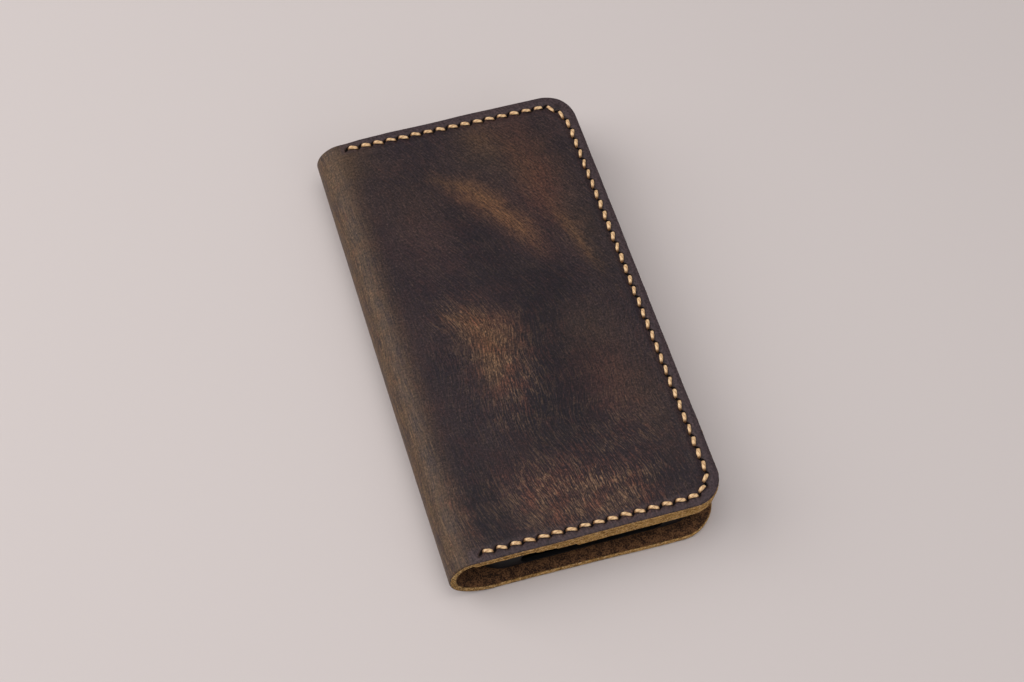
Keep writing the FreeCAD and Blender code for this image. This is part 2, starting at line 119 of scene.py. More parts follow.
def section(s, h):
    """Point (x, z) at arc length s along the outer face and h above it (below 0: inside the hide)."""
    s = np.asarray(s, float)
    th = np.where(s < 0, 0, np.where(s < L1, s / RA, np.where(s < L1 + L2, TA + (s - L1) / RB, math.pi)))
    x = np.where(
        s < 0,
        -26.407 - s,
        np.where(s < L1, -26.407 - RA * np.sin(th), np.where(s < L1 + L2, -32.906 - RB * np.sin(th), -32.906 + (s - L1 - L2))),
    )
    z = np.where(s < 0, 0.0, np.where(s < L1, RA - RA * np.cos(th), np.where(s < L1 + L2, 10.056 - RB * np.cos(th), 18.0)))
    return x - h * np.sin(th), z - h * np.cos(th)


def fold_shift(y, z):
    """The fold is pressed a little tighter at the near end than at the far end."""
    dx = np.interp(y, [-74.6, -60, -20, 40, 74.6], [0.85, 0.62, 0.1, -0.3, -0.5])
    return dx * np.sin(np.pi * np.clip(z / 18, 0, 1)) ** 0.6


def place(s, y, h):
    x, z = section(s, h)
    return np.stack([x + fold_shift(y, z), y, z], -1)


def s_to_x(s):
    return section(s, np.zeros_like(np.asarray(s, float)))[0]


FAR_X = [-40.9, -32.9, -32.0, -27.0, -18.3, -5.0, 9.0, 40.85]
FAR_Y = [72.85, 72.9, 72.95, 73.45, 73.78, 73.95, 74.4, 74.6]


def y_near(s):
    s = np.asarray(s, float)
    z = section(s, np.zeros_like(s))[1]
    fold = np.interp(z, [0, 18], [-74.05, -72.7])
    low = np.interp(s_to_x(s), [-40, -26, -17, -2, 14, 24, 41], [-74.05, -74.0, -73.95, -74.15, -74.5, -74.7, -74.7])
    return np.where(s < 0, low, fold)


def y_far(s):
    s = np.asarray(s, float)
    return np.where(s > L1 + L2, np.interp(s_to_x(s), FAR_X, FAR_Y), np.interp(s, [-100, 0, L1 + L2], [72.8, 72.8, 72.9]))


# --------------------------------------------------------------------------
# stitch holes, in x and y on the closed front cover
# --------------------------------------------------------------------------
HOLES = (
    [(-31.99 + 4 * i, 70.5) for i in range(17)]
    + [(35.25, 68.0), (36.95, 64.5)]
    + [(37.45, 60.55 - 4 * i) for i in range(32)]
    + [(36.0, -66.9), (33.45, -69.3)]
    + [(-30.3 + 4 * i, -70.0) for i in range(15, -1, -1)]
)
HOLES = np.array(HOLES)


def hole_frames():
    """Each hole's direction along its slit: the row's own direction turned by 50 degrees."""
    prev = np.vstack([HOLES[:1] * 2 - HOLES[1:2], HOLES[:-1]])
    nxt = np.vstack([HOLES[1:], HOLES[-1:] * 2 - HOLES[-2:-1]])
    d = nxt - prev
    d /= np.linalg.norm(d, axis=1)[:, None]
    rng = np.random.default_rng(31)
    out = []
    for k, (dx, dy) in enumerate(d):
        a = math.atan2(dy, dx)
        # the near row was walked from right to left
        a += math.radians(50) + rng.normal(0, 0.07)
        out.append((math.cos(a), math.sin(a)))
    return np.array(out)


HOLE_DIR = hole_frames()


def slit_field(x, y, half_long=1.12, half_wide=0.36):
    """0 in the middle of a slit, 1 at its rim, more outside."""
    best = np.full(x.shape, 9.0)
    for (hx, hy), (ux, uy) in zip(HOLES, HOLE_DIR):
        near = (np.abs(x - hx) < 2.4) & (np.abs(y - hy) < 2.4)
        dx, dy = x[near] - hx, y[near] - hy
        a, b = dx * ux + dy * uy, -dx * uy + dy * ux
        best[near] = np.minimum(best[near], np.sqrt((a / half_long) ** 2 + (b / half_wide) ** 2))
    return best


def row_distance(x, y):
    """Distance to the line of stitching."""
    best = np.full(x.shape, 99.0)
    for (ax, ay), (bx, by) in zip(HOLES[:-1], HOLES[1:]):
        ex, ey = bx - ax, by - ay
        t = np.clip(((x - ax) * ex + (y - ay) * ey) / (ex * ex + ey * ey), 0, 1)
        best = np.minimum(best, np.hypot(x - ax - t * ex, y - ay - t * ey))
    return best


# --------------------------------------------------------------------------
# plates: an outer grid, a skirt of rings round its edge, and an inner grid
# --------------------------------------------------------------------------
INSET = 0.6


def columns(s0, s1, spacing, r_end, r_start=None, dense=None):
    """Column places along s from s0 to s1, ending in a quarter circle of r_end, and how far each is round it. The count of gaps is even."""
    direction = 1 if s1 > s0 else -1
    length = abs(s1 - s0)
    flat0 = 0.0 if r_start is None else r_start
    out, arc0, arc1 = [], [], []
    if r_start is not None:
        n = max(3, int(math.ceil(r_start * math.pi / 2 / spacing)))
        for k in range(n):
            a = math.pi / 2 * (1 - k / n)
            out.append(r_start - r_start * math.sin(a))
            arc0.append(a)
    run = length - r_end - flat0
    n = max(2, int(round(run / spacing)))
    if dense is not None:
        n = len(dense(run)) - 1
        places = dense(run)
    else:
        places = np.linspace(0, run, n + 1)
    start = len(out)
    for p in places:
        out.append(flat0 + p)
        arc0.append(0.0)
    last_flat = len(out) - 1
    n = max(4, int(math.ceil(r_end * math.pi / 2 / spacing)))
    if (last_flat + n) % 2:
        n += 1
    angles = [0.0] * len(out)
    for k in range(1, n + 1):
        a = math.pi / 2 * k / n
        out.append(flat0 + run + r_end * math.sin(a))
        angles.append(a)
        arc0.append(0.0)
    return s0 + direction * np.array(out), np.array(angles), np.array(arc0)


class Plate:
    """Builds one plate in (s, y, h) and keeps what each vertex is."""

    def __init__(self, s, angle_end, angle_start, near, far, r_end, r_start, rows, thick, arris, under, closed_start, jitter):
        ns, nr = len(s), len(rows)
        self.closed_start = closed_start
        direction = 1 if s[-1] > s[0] else -1
        cut_end = (r_end - INSET) * (1 - np.cos(angle_end))
        cut_start = 0 if r_start is None else (r_start - INSET) * (1 - np.cos(angle_start))
        lo = near + INSET + cut_end + cut_start
        hi = far - INSET - cut_end - cut_start
        S = np.repeat(s[:, None], nr, 1)
        Y = lo[:, None] + (hi - lo)[:, None] * rows[None, :]
        # the loop round the grid, from the start along the near side
        loop, normal = [], []
        for i in range(ns):
            a = angle_end[i] if angle_end[i] > 0 else -angle_start[i]
            loop.append((i, 0))
            normal.append((math.sin(a), -math.cos(a)))
        for j in range(1, nr):
            loop.append((ns - 1, j))
            normal.append((1.0, 0.0))
        normal[ns - 1] = (1.0, 0.0)
        for i in range(ns - 2, -1, -1):
            a = angle_end[i] if angle_end[i] > 0 else -angle_start[i]
            loop.append((i, nr - 1))
            normal.append((math.sin(a), math.cos(a)))
        if closed_start:
            for j in range(nr - 2, 0, -1):
                loop.append((0, j))
                normal.append((-1.0, 0.0))
            normal[0] = (-1.0, 0.0)
            # the two start corners sit at the end of a quarter circle
            normal[ns - 1 + nr - 1 + ns - 1] = (-1.0, 0.0)
        self.loop = np.array(loop)
        nrm = np.array(normal)
        nrm[:, 0] *= direction
        L = len(loop)
        # ring profile: outward t, height h, how raw and how inner
        prof = [(INSET - arris, 0.0, 0.0, 0.0)]
        for k in range(1, 5):
            a = math.pi / 2 * k / 4
            prof.append((INSET - arris + arris * math.sin(a), -arris + arris * math.cos(a), 0.12 * k if k < 4 else 0.85, 0.0))
        steps = max(2, int(round((thick - arris - under) / 0.27)))
        for k in range(1, steps + 1):
            prof.append((INSET, -arris - (thick - arris - under) * k / steps, 1.0, 0.0))
        for k in range(1, 4):
            a = math.pi / 2 * k / 3
            prof.append((INSET - under + under * math.cos(a), -thick + under - under * math.sin(a), 1.0, k / 3 * 0.6))
        self.prof = prof
        s_l, y_l = S[self.loop[:, 0], self.loop[:, 1]], Y[self.loop[:, 0], self.loop[:, 1]]
        arc = np.concatenate([[0], np.cumsum(np.hypot(np.diff(s_l), np.diff(y_l)))])
        out = [np.stack([S.ravel(), Y.ravel(), np.zeros(S.size)], 1)]
        raw, inner, depth = [np.zeros(S.size)], [np.zeros(S.size)], [np.zeros(S.size)]
        wave = fbm(arc, arc * 0 + 3.3, 16, jitter + 1, 3) * 0.13
        for k, (t, h, r, f) in enumerate(prof):
            share = t / INSET
            rough = np.zeros(L)
            if r > 0.8:
                rough = fbm(arc, h * 3.0 + arc * 0, 0.9, jitter + 5, 3) * 0.10 + fbm(arc, h * 2.0 + arc * 0, 3.5, jitter + 9, 2) * 0.07
            tt = t + wave * share + rough
            out.append(np.stack([s_l + nrm[:, 0] * tt, y_l + nrm[:, 1] * tt, np.full(L, h)], 1))
            raw.append(np.full(L, r))
            inner.append(np.full(L, f))
            depth.append(np.full(L, 0.0))
        S2, Y2 = S[::2, ::2], Y[::2, ::2]
        out.append(np.stack([S2.ravel(), Y2.ravel(), np.full(S2.size, -thick)], 1))
        raw.append(np.zeros(S2.size))
        inner.append(np.ones(S2.size))
        self.v = np.concatenate(out)
        self.raw, self.inner = np.concatenate(raw), np.concatenate(inner)
        self.grid_n = S.size
        self.inner0 = len(self.v) - S2.size
        n2s, n2r = S2.shape
        # faces
        quads, tris = [], []
        idx = np.arange(S.size).reshape(ns, nr)
        a, b, c, d = idx[:-1, :-1], idx[1:, :-1], idx[1:, 1:], idx[:-1, 1:]
        quads.append(np.stack([a, b, c, d], -1).reshape(-1, 4))
        inn = self.inner0 + np.arange(S2.size).reshape(n2s, n2r)
        a, b, c, d = inn[:-1, :-1], inn[1:, :-1], inn[1:, 1:], inn[:-1, 1:]
        quads.append(np.stack([d, c, b, a], -1).reshape(-1, 4))
        fine = idx[self.loop[:, 0], self.loop[:, 1]]
        rings = [fine] + [S.size + k * L + np.arange(L) for k in range(len(prof))]
        m = L if closed_start else L - 1
        for p, q in zip(rings[:-1], rings[1:]):
            i0, i1 = np.arange(m), (np.arange(m) + 1) % L
            quads.append(np.stack([p[i0], q[i0], q[i1], p[i1]], -1))
        last = rings[-1]
        coarse = inn[self.loop[::2, 0] // 2, self.loop[::2, 1] // 2]
        nc = len(coarse)
        for k in range(nc if closed_start else nc - 1):
            A, C = coarse[k], coarse[(k + 1) % nc]
            f0, f1, f2 = last[2 * k], last[(2 * k + 1) % L], last[(2 * k + 2) % L]
            tris += [(f0, A, f1), (f1, A, C), (f1, C, f2)]
        self.quads, self.tris, self.polys = np.concatenate(quads), tris, []
        self.cap_edges = set()
        if not closed_start:
            # the cut through the fold, where this piece meets the other half
            o, n = idx[0], inn[0]
            cap = []
            for k in range(len(n) - 1):
                cap += [(o[2 * k], o[2 * k + 1], n[k]), (o[2 * k + 1], n[k + 1], n[k]), (o[2 * k + 1], o[2 * k + 2], n[k + 1])]
            self.cap_tris = cap
            self.cap_poly = [
                [rings[0][0]] + [n[0]] + [r[0] for r in rings[:0:-1]],
                [rings[0][-1]] + [r[-1] for r in rings[1:]] + [n[-1]],
            ]
            ring_edge = [(o[k], o[k + 1]) for k in range(len(o) - 1)] + [(n[k], n[k + 1]) for k in range(len(n) - 1)]
            for end in (0, -1):
                chain = [r[end] for r in rings] + [n[0] if end == 0 else n[-1]]
                ring_edge += list(zip(chain[:-1], chain[1:]))
            self.cap_edges = {tuple(sorted((int(p), int(q)))) for p, q in ring_edge}
        self.flip = direction < 0


def build_mesh(name, co_mm, faces, smooth=True):
    me = bpy.data.meshes.new(name)
    me.from_pydata((co_mm * 0.001).tolist(), [], [list(map(int, f)) for f in faces])
    me.update()
    if smooth:
        me.polygons.foreach_set("use_smooth", [True] * len(me.polygons))
    ob = bpy.data.objects.new(name, me)
    scene.collection.objects.link(ob)
    return ob


def put(me, name, values, kind="FLOAT"):
    at = me.attributes.new(name, kind, "POINT")
    if kind == "FLOAT":
        at.data.foreach_set("value", np.asarray(values, np.float32))
    else:
        at.data.foreach_set("vector", np.asarray(values, np.float32).ravel())


# --------------------------------------------------------------------------
# where the leather has pulled up lighter, in x and y of the closed front face
# --------------------------------------------------------------------------


def blob(x, y, cx, cy, lx, ly, turn=0.0, power=2.0):
    c, s = math.cos(math.radians(turn)), math.sin(math.radians(turn))
    a, b = (x - cx) * c + (y - cy) * s, -(x - cx) * s + (y - cy) * c
    return np.exp(-((np.abs(a / lx) ** power + np.abs(b / ly) ** power)))


def bow(x, y, pts, width, soft=1.6):
    """A soft streak along a chain of points: width in mm at each point."""
    best = np.full(x.shape, 0.0)
    for (ax, ay, aw, ai), (bx, by, bw, bi) in zip(pts[:-1], pts[1:]):
        ex, ey = bx - ax, by - ay
        t = np.clip(((x - ax) * ex + (y - ay) * ey) / (ex * ex + ey * ey), 0, 1)
        d = np.hypot(x - ax - t * ex, y - ay - t * ey)
        w = (aw + (bw - aw) * t) * width
        best = np.maximum(best, (ai + (bi - ai) * t) * np.exp(-((d / w) ** soft)))
    return best


def colour_fields(x, y, s):
    """tan, red, olive, wrinkle and dark fields on the front cover and fold, each about 0 to 1."""
    wx = x + 2.2 * fbm(x, y, 14, 101, 3)
    wy = y + 2.2 * fbm(x, y, 14, 111, 3)
    tan = (
        bow(wx, wy, [(-9, 53, 2.2, 0.25), (-2, 47.5, 3.2, 0.8), (5, 39.5, 3.8, 1.0), (11, 30, 3.4, 0.85), (15.5, 21, 2.6, 0.25)], 1.0) * 0.95
        + bow(wx, wy, [(23, 37, 1.8, 0.2), (25.5, 27, 2.2, 0.75), (28.5, 15, 2.0, 0.65), (31, 6, 1.6, 0.1)], 1.0) * 0.75
        + bow(wx, wy, [(-19, 3.5, 2.2, 0.5), (-12.5, 1.0, 4.2, 0.95), (-10, -7, 5.2, 1.0), (-10.0, -16, 4.2, 0.66), (-11.5, -25, 3.4, 0.15)], 1.0)
        + blob(wx, wy, -4.0, -9, 5, 9, -15) * 0.25
        + blob(wx, wy, -9, -64, 11, 5, -18) * 0.2
        + blob(wx, wy, 12, -64, 9, 5, 20) * 0.18
        + blob(wx, wy, -31.5, -60, 1.8, 9, 8) * 0.12
        + blob(wx, wy, 24, -32, 6, 12, 10) * 0.10
        + blob(wx, wy, 9, 64, 6, 6, 0) * 0.32
        + blob(wx, wy, 18.5, 47, 4.5, 10, 8) * 0.26
        + blob(wx, wy, -34, 67, 6, 6, 0) * 0.2
    )
    red = (
        blob(wx, wy, 20, 58, 7, 15, 12) * 0.5
        + blob(wx, wy, 22, 40, 6, 12, 0) * 0.75
        + bow(wx, wy, [(-2, 46, 3.2, 0.6), (7, 36, 3.8, 1.0), (13, 27, 3.2, 0.8), (17, 17, 3, 0.3)], 1.0) * 0.8
        + blob(wx, wy, -7, -1.5, 6, 5, 0) * 0.6
        + blob(wx, wy, -3, -56, 15, 8, -22) * 0.5
        + blob(wx, wy, 20, -27, 9, 14, 15) * 0.42
        + blob(wx, wy, -18, 33, 9, 17, 0) * 0.18
    )
    olive = (
        blob(wx, wy, -34, 66, 10, 9, 0) * 0.5
        + blob(wx, wy, 13, 57, 14, 10, -15) * 0.5
        + blob(wx, wy, 29, 33, 6, 25, 8) * 0.35
        + blob(wx, wy, 21, -11, 8, 10, 0) * 0.35
        + blob(wx, wy, 30, -38, 6, 18, 0) * 0.3
        + blob(wx, wy, -19, 47, 12, 12, 0) * 0.22
    )
    wrinkle = (
        blob(wx, wy, 1, -60, 20, 10, -12, 2.8) * 1.0
        + blob(wx, wy, -31.5, -60, 2.2, 11, 8, 2.4) * 0.4
        + bow(wx, wy, [(-19, 3.5, 3.2, 0.6), (-12.5, 1.0, 5.2, 0.9), (-8, -9, 7, 1.0), (-7, -20, 6.5, 0.9), (-9, -31, 6, 0.4)], 1.0)
        + blob(wx, wy, 17, -46, 16, 12, 0) * 0.25
    )
    dark = (
        blob(wx, wy, 8, -18, 10, 15, 12) * 1.1
        + blob(wx, wy, 2, -37, 12, 10, -15) * 1.3
        + blob(wx, wy, 14, 8, 9, 9, 20) * 0.95
        + blob(wx, wy, 9, -4, 7, 11, 0) * 0.6
        + blob(wx, wy, -12, -46, 12, 7, 0) * 0.45
        + blob(wx, wy, -24, -14, 7, 22, 0) * 0.2
        + blob(wx, wy, 0, 18, 10, 13, 0) * 0.75
        + blob(wx, wy, -7, 36, 6, 10, 25) * 0.5
        + blob(wx, wy, -25, -45, 6, 10, 0) * 0.35
        + blob(wx, wy, -24.8, -59, 5.6, 9, 5, 2.6) * 1.3
        + blob(wx, wy, 24, -62, 7, 6, 0) * 0.5
        + blob(wx, wy, 31, 14, 4, 12, 0) * 0.4
        + blob(wx, wy, 15, -46, 8, 8, 0) * 0.3
    )
    # the fold's band: stretched grain that is lighter in its own tone, plus painted sheen where the shoulder catches
    # the light; lightest on the shoulder
    spine = sstep(SEAM + 17, SEAM + 5, s) * sstep(SEAM - 20, SEAM - 2, s)
    clip = lambda v: np.clip(v, 0, 1)
    return clip(tan * 0.62), clip(red * 0.8), clip(olive), clip(wrinkle), clip(dark), clip(spine)


# --------------------------------------------------------------------------
# the two halves of the leather strap
# --------------------------------------------------------------------------


def flow(y):
    """Sideways run of the hide's creases: how far a crease has moved at each y."""
    ys = np.linspace(-80, 80, 321)
    slope = np.interp(ys, [-80, -42, -34, -6, 2, 14, 70, 80], [0.24, 0.24, -0.04, -0.10, 0.42, 0.5, 0.55, 0.55])
    run = np.concatenate([[0], np.cumsum((slope[1:] + slope[:-1]) / 2 * np.diff(ys))])
    return np.interp(y, ys, run)


def strap(name, s_start, s_end, spacing, row_places, bottom):
    corner = CORNER_BACK if bottom else CORNER
    s, ang, arc0 = columns(
        s_start,
        s_end,
        spacing,
        corner - INSET,
        dense=lambda run: np.concatenate([[0, 0.09], np.linspace(0.09, run, 2 * int(round(run / spacing / 2)) + 1)[1:]]),
    )
    if len(s) % 2 == 0:
        raise ValueError("odd number of gaps")
    p = Plate(s, ang, arc0, y_near(s), y_far(s), corner, None, row_places, HIDE, 0.45, 0.28, False, 40 if bottom else 60)
    v = p.v.copy()
    S, Y, H = v[:, 0], v[:, 1], v[:, 2]
    X = s_to_x(S)
    outer = sstep(-1.2, -0.25, H)
    lift = np.zeros(len(v))
    # slow hand-made waviness; none at the resting face
    soft = 0.10 * fbm(S, Y, 34, 201, 2) + 0.05 * fbm(S, Y, 11, 211, 3)
    lift += soft * outer * (0.35 if bottom else 1.0)
    fine = 0.020 * fbm(S, Y, 2.4, 221, 2)
    lift += fine * outer
    top = np.zeros(len(v)) if bottom else sstep(L1 + L2 - 4, L1 + L2 + 1, S)
    extra = {}
    if not bottom:
        rd = row_distance(X, Y)
        slit = slit_field(X, Y)
        # stitches pull the leather down; the margin outside rolls off to the edge
        lift -= 0.22 * np.exp(-((rd / 1.15) ** 2)) * top * outer
        lift += 0.10 * np.exp(-(((rd - 2.0) / 0.8) ** 2)) * top * outer
        lift -= 0.7 * sstep(1.2, 0.2, slit) * top * sstep(-0.6, -0.1, H)
        edge = np.minimum(np.minimum(Y - y_near(S), y_far(S) - Y), FORE - X)
        lift -= 0.22 * sstep(2.6, 0.0, edge) * top * outer
        tan, red, olive, wrinkle, dark, spine = colour_fields(X, Y, S)
        # fine creases that run up and down the cover
        cx = X * 1.15 + 1.1 * fbm(X, Y, 9, 301, 2)
        cr = perlin(cx, Y * 0.16, 305)
        cr2 = perlin(cx * 1.9, Y * 0.26, 306)
        lift += 0.035 * (1 - np.abs(cr) * 2.6).clip(-1, 1) * wrinkle * top * outer
        lift += 0.018 * (1 - np.abs(cr2) * 2.6).clip(-1, 1) * wrinkle * top * outer
    else:
        z_ = np.zeros(len(v))
        tan, red, olive, wrinkle, dark = z_, z_, z_ + 0.15, z_, z_
        # the lower half's fold band: lighter stretched grain with painted sheen, and the mask for the edge's handling
        # dye
        spine = sstep(-20, SEAM - 4, S)
        slit, rd, edge = z_ + 9, z_ + 99, np.minimum(Y - y_near(S), y_far(S) - Y)
        lift = np.where(S < 0, np.minimum(lift, 0.0) * 0.5, lift)
    # suede side: slight undulation, away from the panels and the shell
    bend = sstep(-6, 2, S) * sstep(L1 + L2 + 4, L1 + L2 - 4, S)
    lift += (1 - outer) * bend * 0.12 * fbm(S, Y, 7, 231, 3)
    co = place(S, Y, H + lift)
    faces = [tuple(q) for q in p.quads] + [tuple(t) for t in p.tris] + [tuple(t) for t in p.cap_tris] + [tuple(t) for t in p.cap_poly]
    if p.flip:
        faces = [tuple(reversed(f)) for f in faces]
    ob = build_mesh(name, co, faces)
    me = ob.data
    # crisp rim where the two halves meet
    ev = np.zeros(len(me.edges) * 2, np.int32)
    me.edges.foreach_get("vertices", ev)
    ev = np.sort(ev.reshape(-1, 2), 1)
    big = int(len(v)) + 1
    keys = ev[:, 0].astype(np.int64) * big + ev[:, 1]
    caps = np.array(sorted(a * big + b for a, b in p.cap_edges), np.int64)
    sharp = np.isin(keys, caps)
    at = me.attributes.new("sharp_edge", "BOOLEAN", "EDGE")
    at.data.foreach_set("value", sharp)
    put(me, "lc", np.stack([S, Y, H], 1), "FLOAT_VECTOR")
    on_cover = sstep(L1 + L2 - 6, L1 + L2 + 8, S) if not bottom else np.zeros(len(v))
    put(me, "fl", np.stack([S + flow(Y) * on_cover, Y, H], 1), "FLOAT_VECTOR")
    put(me, "raw", p.raw)
    put(me, "flesh", p.inner)
    put(me, "pull", tan)
    put(me, "red", red)
    put(me, "olive", olive)
    put(me, "creased", wrinkle)
    put(me, "dark", dark)
    put(me, "spine", spine)
    deep = top * sstep(-0.8, -0.3, H) if not bottom else np.zeros(len(v))
    # distance to the nearest slit; the leather material paints shade in the awl holes from it
    put(me, "slit", 3.0 - (3.0 - np.minimum(slit, 3.0)) * deep)
    # mask of the margin outside the stitches, which the leather material lightens as a painted highlight where it rolls
    # toward the edge
    put(me, "margin_painted_highlight", sstep(0.4, 1.0, rd) * sstep(4.6, 3.4, edge) * (top if not bottom else 0) * sstep(-0.8, -0.3, H) * (X > -34) if not bottom else np.zeros(len(v)))
    return ob


ROW_GAPS = 332
base = np.linspace(0, 1, ROW_GAPS + 1)
ROWS = base

front = strap("leather_front", SEAM, S_FORE_FRONT - INSET, 0.455, ROWS, False)
back = strap("leather_back", SEAM, S_FORE_BACK + INSET, 0.75, ROWS, True)


# the camera window through the back cover
def rounded_prism(name, cx, cy, wx, wy, r, z0, z1, n=14):
    pts = []
    for qx, qy, a0 in ((1, 1, 0), (-1, 1, 90), (-1, -1, 180), (1, -1, 270)):
        for k in range(n + 1):
            a = math.radians(a0 + 90 * k / n)
            pts.append((cx + qx * (wx / 2 - r) + r * math.cos(a), cy + qy * (wy / 2 - r) + r * math.sin(a)))
    m = len(pts)
    co = np.array([(x, y, z0) for x, y in pts] + [(x, y, z1) for x, y in pts])
    faces = [tuple(range(m - 1, -1, -1)), tuple(range(m, 2 * m))]
    faces += [(k, (k + 1) % m, m + (k + 1) % m, m + k) for k in range(m)]
    return build_mesh(name, co, faces, smooth=False)


cutter = rounded_prism("window_cutter", 21.0, 57.4, 30.0, 16.0, 7.0, -3.0, 5.0)
mod = back.modifiers.new("window", "BOOLEAN")
mod.operation = "DIFFERENCE"
mod.solver = "EXACT"
mod.object = cutter
bpy.context.view_layer.update()
dg = bpy.context.evaluated_depsgraph_get()
cut = bpy.data.meshes.new_from_object(back.evaluated_get(dg))
back.modifiers.remove(mod)
back.data = cut
bpy.data.objects.remove(cutter)
# the window's wall is raw leather
me = back.data
co = np.zeros(len(me.vertices) * 3, np.float32)
me.vertices.foreach_get("co", co)
co = co.reshape(-1, 3) * 1000
dx = np.abs(co[:, 0] - 21.0) - (15.0 - 7.0)
dy = np.abs(co[:, 1] - 57.4) - (8.0 - 7.0)
rim = np.abs(np.hypot(np.maximum(dx, 0), np.maximum(dy, 0)) - 7.0) < 0.02
rim &= (co[:, 2] < 2.5) & (np.maximum(dx, dy) > -0.02)
rawv = np.zeros(len(me.vertices), np.float32)
me.attributes["raw"].data.foreach_get("value", rawv)
rawv[rim] = 1.0
me.attributes["raw"].data.foreach_set("value", rawv)
lc = np.zeros(len(me.vertices) * 3, np.float32)
me.attributes["lc"].data.foreach_get("vector", lc)
lc = lc.reshape(-1, 3)
lc[rim] = np.stack([-26.407 - co[rim, 0], co[rim, 1], co[rim, 2]], 1)
me.attributes["lc"].data.foreach_set("vector", lc.ravel())
me.attributes["fl"].data.foreach_set("vector", lc.ravel())

# --------------------------------------------------------------------------
# the four inner panels
# --------------------------------------------------------------------------
PANELS = [
    ("cash_pocket", "cash_pocket_panel", -33.0, 15.98, 15.15, 0.95, 71),
    ("card_slot_inner", "card_slot_inner_panel", -15.5, 15.15, 14.3, 0.95, 81),
    ("card_slot_middle", "card_slot_middle_panel", -9.5, 14.3, 13.45, 0.95, 91),
    ("card_slot_outer", "card_slot_outer_panel", -3.5, 13.45, 12.6, 0.6, 101),
]
panel_objects = []
for name, node, x0, ztop, zbot, spacing, seed in PANELS:
    thick = ztop - zbot
    s, ang, arc0 = columns(x0 + INSET, FORE - INSET, spacing, CORNER - INSET, r_start=0.3)
    if len(s) % 2 == 0:
        s = np.concatenate([s[:6], [(s[5] + s[6]) / 2], s[6:]])
        ang = np.concatenate([ang[:6], [0.0], ang[6:]])
        arc0 = np.concatenate([arc0[:6], [arc0[5] * 0.5 if arc0[6] == 0 else arc0[6]], arc0[6:]])
    rows = np.linspace(0, 1, 2 * int(round(146 / spacing / 2)) + 1)
    near = np.full(len(s), -72.75 - 0.12 * (16 - zbot) / 3.4)
    far = np.interp(s, FAR_X, FAR_Y) - 0.12
    # seen from inside, the panel's outer face is its lower one
    p = Plate(s, ang, arc0, near, far, CORNER, 0.3 + INSET, rows, thick, 0.14, 0.12, True, seed)
    v = p.v
    S, Y, H = v[:, 0], v[:, 1], v[:, 2]
    crease = 0.09 * np.exp(-(((S - x0 - 2.2) / 0.28) ** 2))
    low = H > -thick / 2
    lift = np.where(low, 0.03 * fbm(S, Y, 12, seed + 2, 3) - crease, 0)
    rd = row_distance(S, Y)
    lift -= np.where(low, 0.10 * np.exp(-((rd / 1.0) ** 2)), 0)
    z = zbot - (H + lift)
    z = np.minimum(z, ztop)
    co = np.stack([S, Y, z], 1)
    faces = [tuple(reversed(q)) for q in p.quads] + [tuple(reversed(t)) for t in p.tris]
    ob = build_mesh("panel_" + name, co, faces)
    me = ob.data
    put(me, "lc", np.stack([S + seed, Y, H - 3.0 - ztop], 1), "FLOAT_VECTOR")
    put(me, "fl", np.stack([S + seed, Y, H - 3.0 - ztop], 1), "FLOAT_VECTOR")
    put(me, "raw", p.raw)
    put(me, "flesh", p.inner)
    zero = np.zeros(len(v))
    pocket_tan = np.clip(0.35 * sstep(3.0, 0.3, S - x0) + 0.25 * fbm(S, Y, 20, seed + 7, 3), 0, 1)
    put(me, "pull", pocket_tan)
    put(me, "red", np.clip(0.3 * fbm(S, Y, 24, seed + 8, 2), 0, 1))
    put(me, "olive", np.clip(0.4 * fbm(S, Y, 30, seed + 9, 2), 0, 1))
    put(me, "creased", np.clip(0.3 + 0.6 * fbm(S, Y, 26, seed + 10, 2), 0, 1) * 0.5)
    put(me, "dark", zero)
    put(me, "spine", zero)
    put(me, "slit", zero + 3.0)
    put(me, "margin_painted_highlight", zero)
    panel_objects.append((ob, node))

# --------------------------------------------------------------------------
# thread
# --------------------------------------------------------------------------


def face_z(x):
    """Height of the innermost panel's face."""
    return np.where(x > -3.5, 12.6, np.where(x > -9.5, 13.45, np.where(x > -15.5, 14.3, np.where(x > -33.0, 15.15, 16.0))))


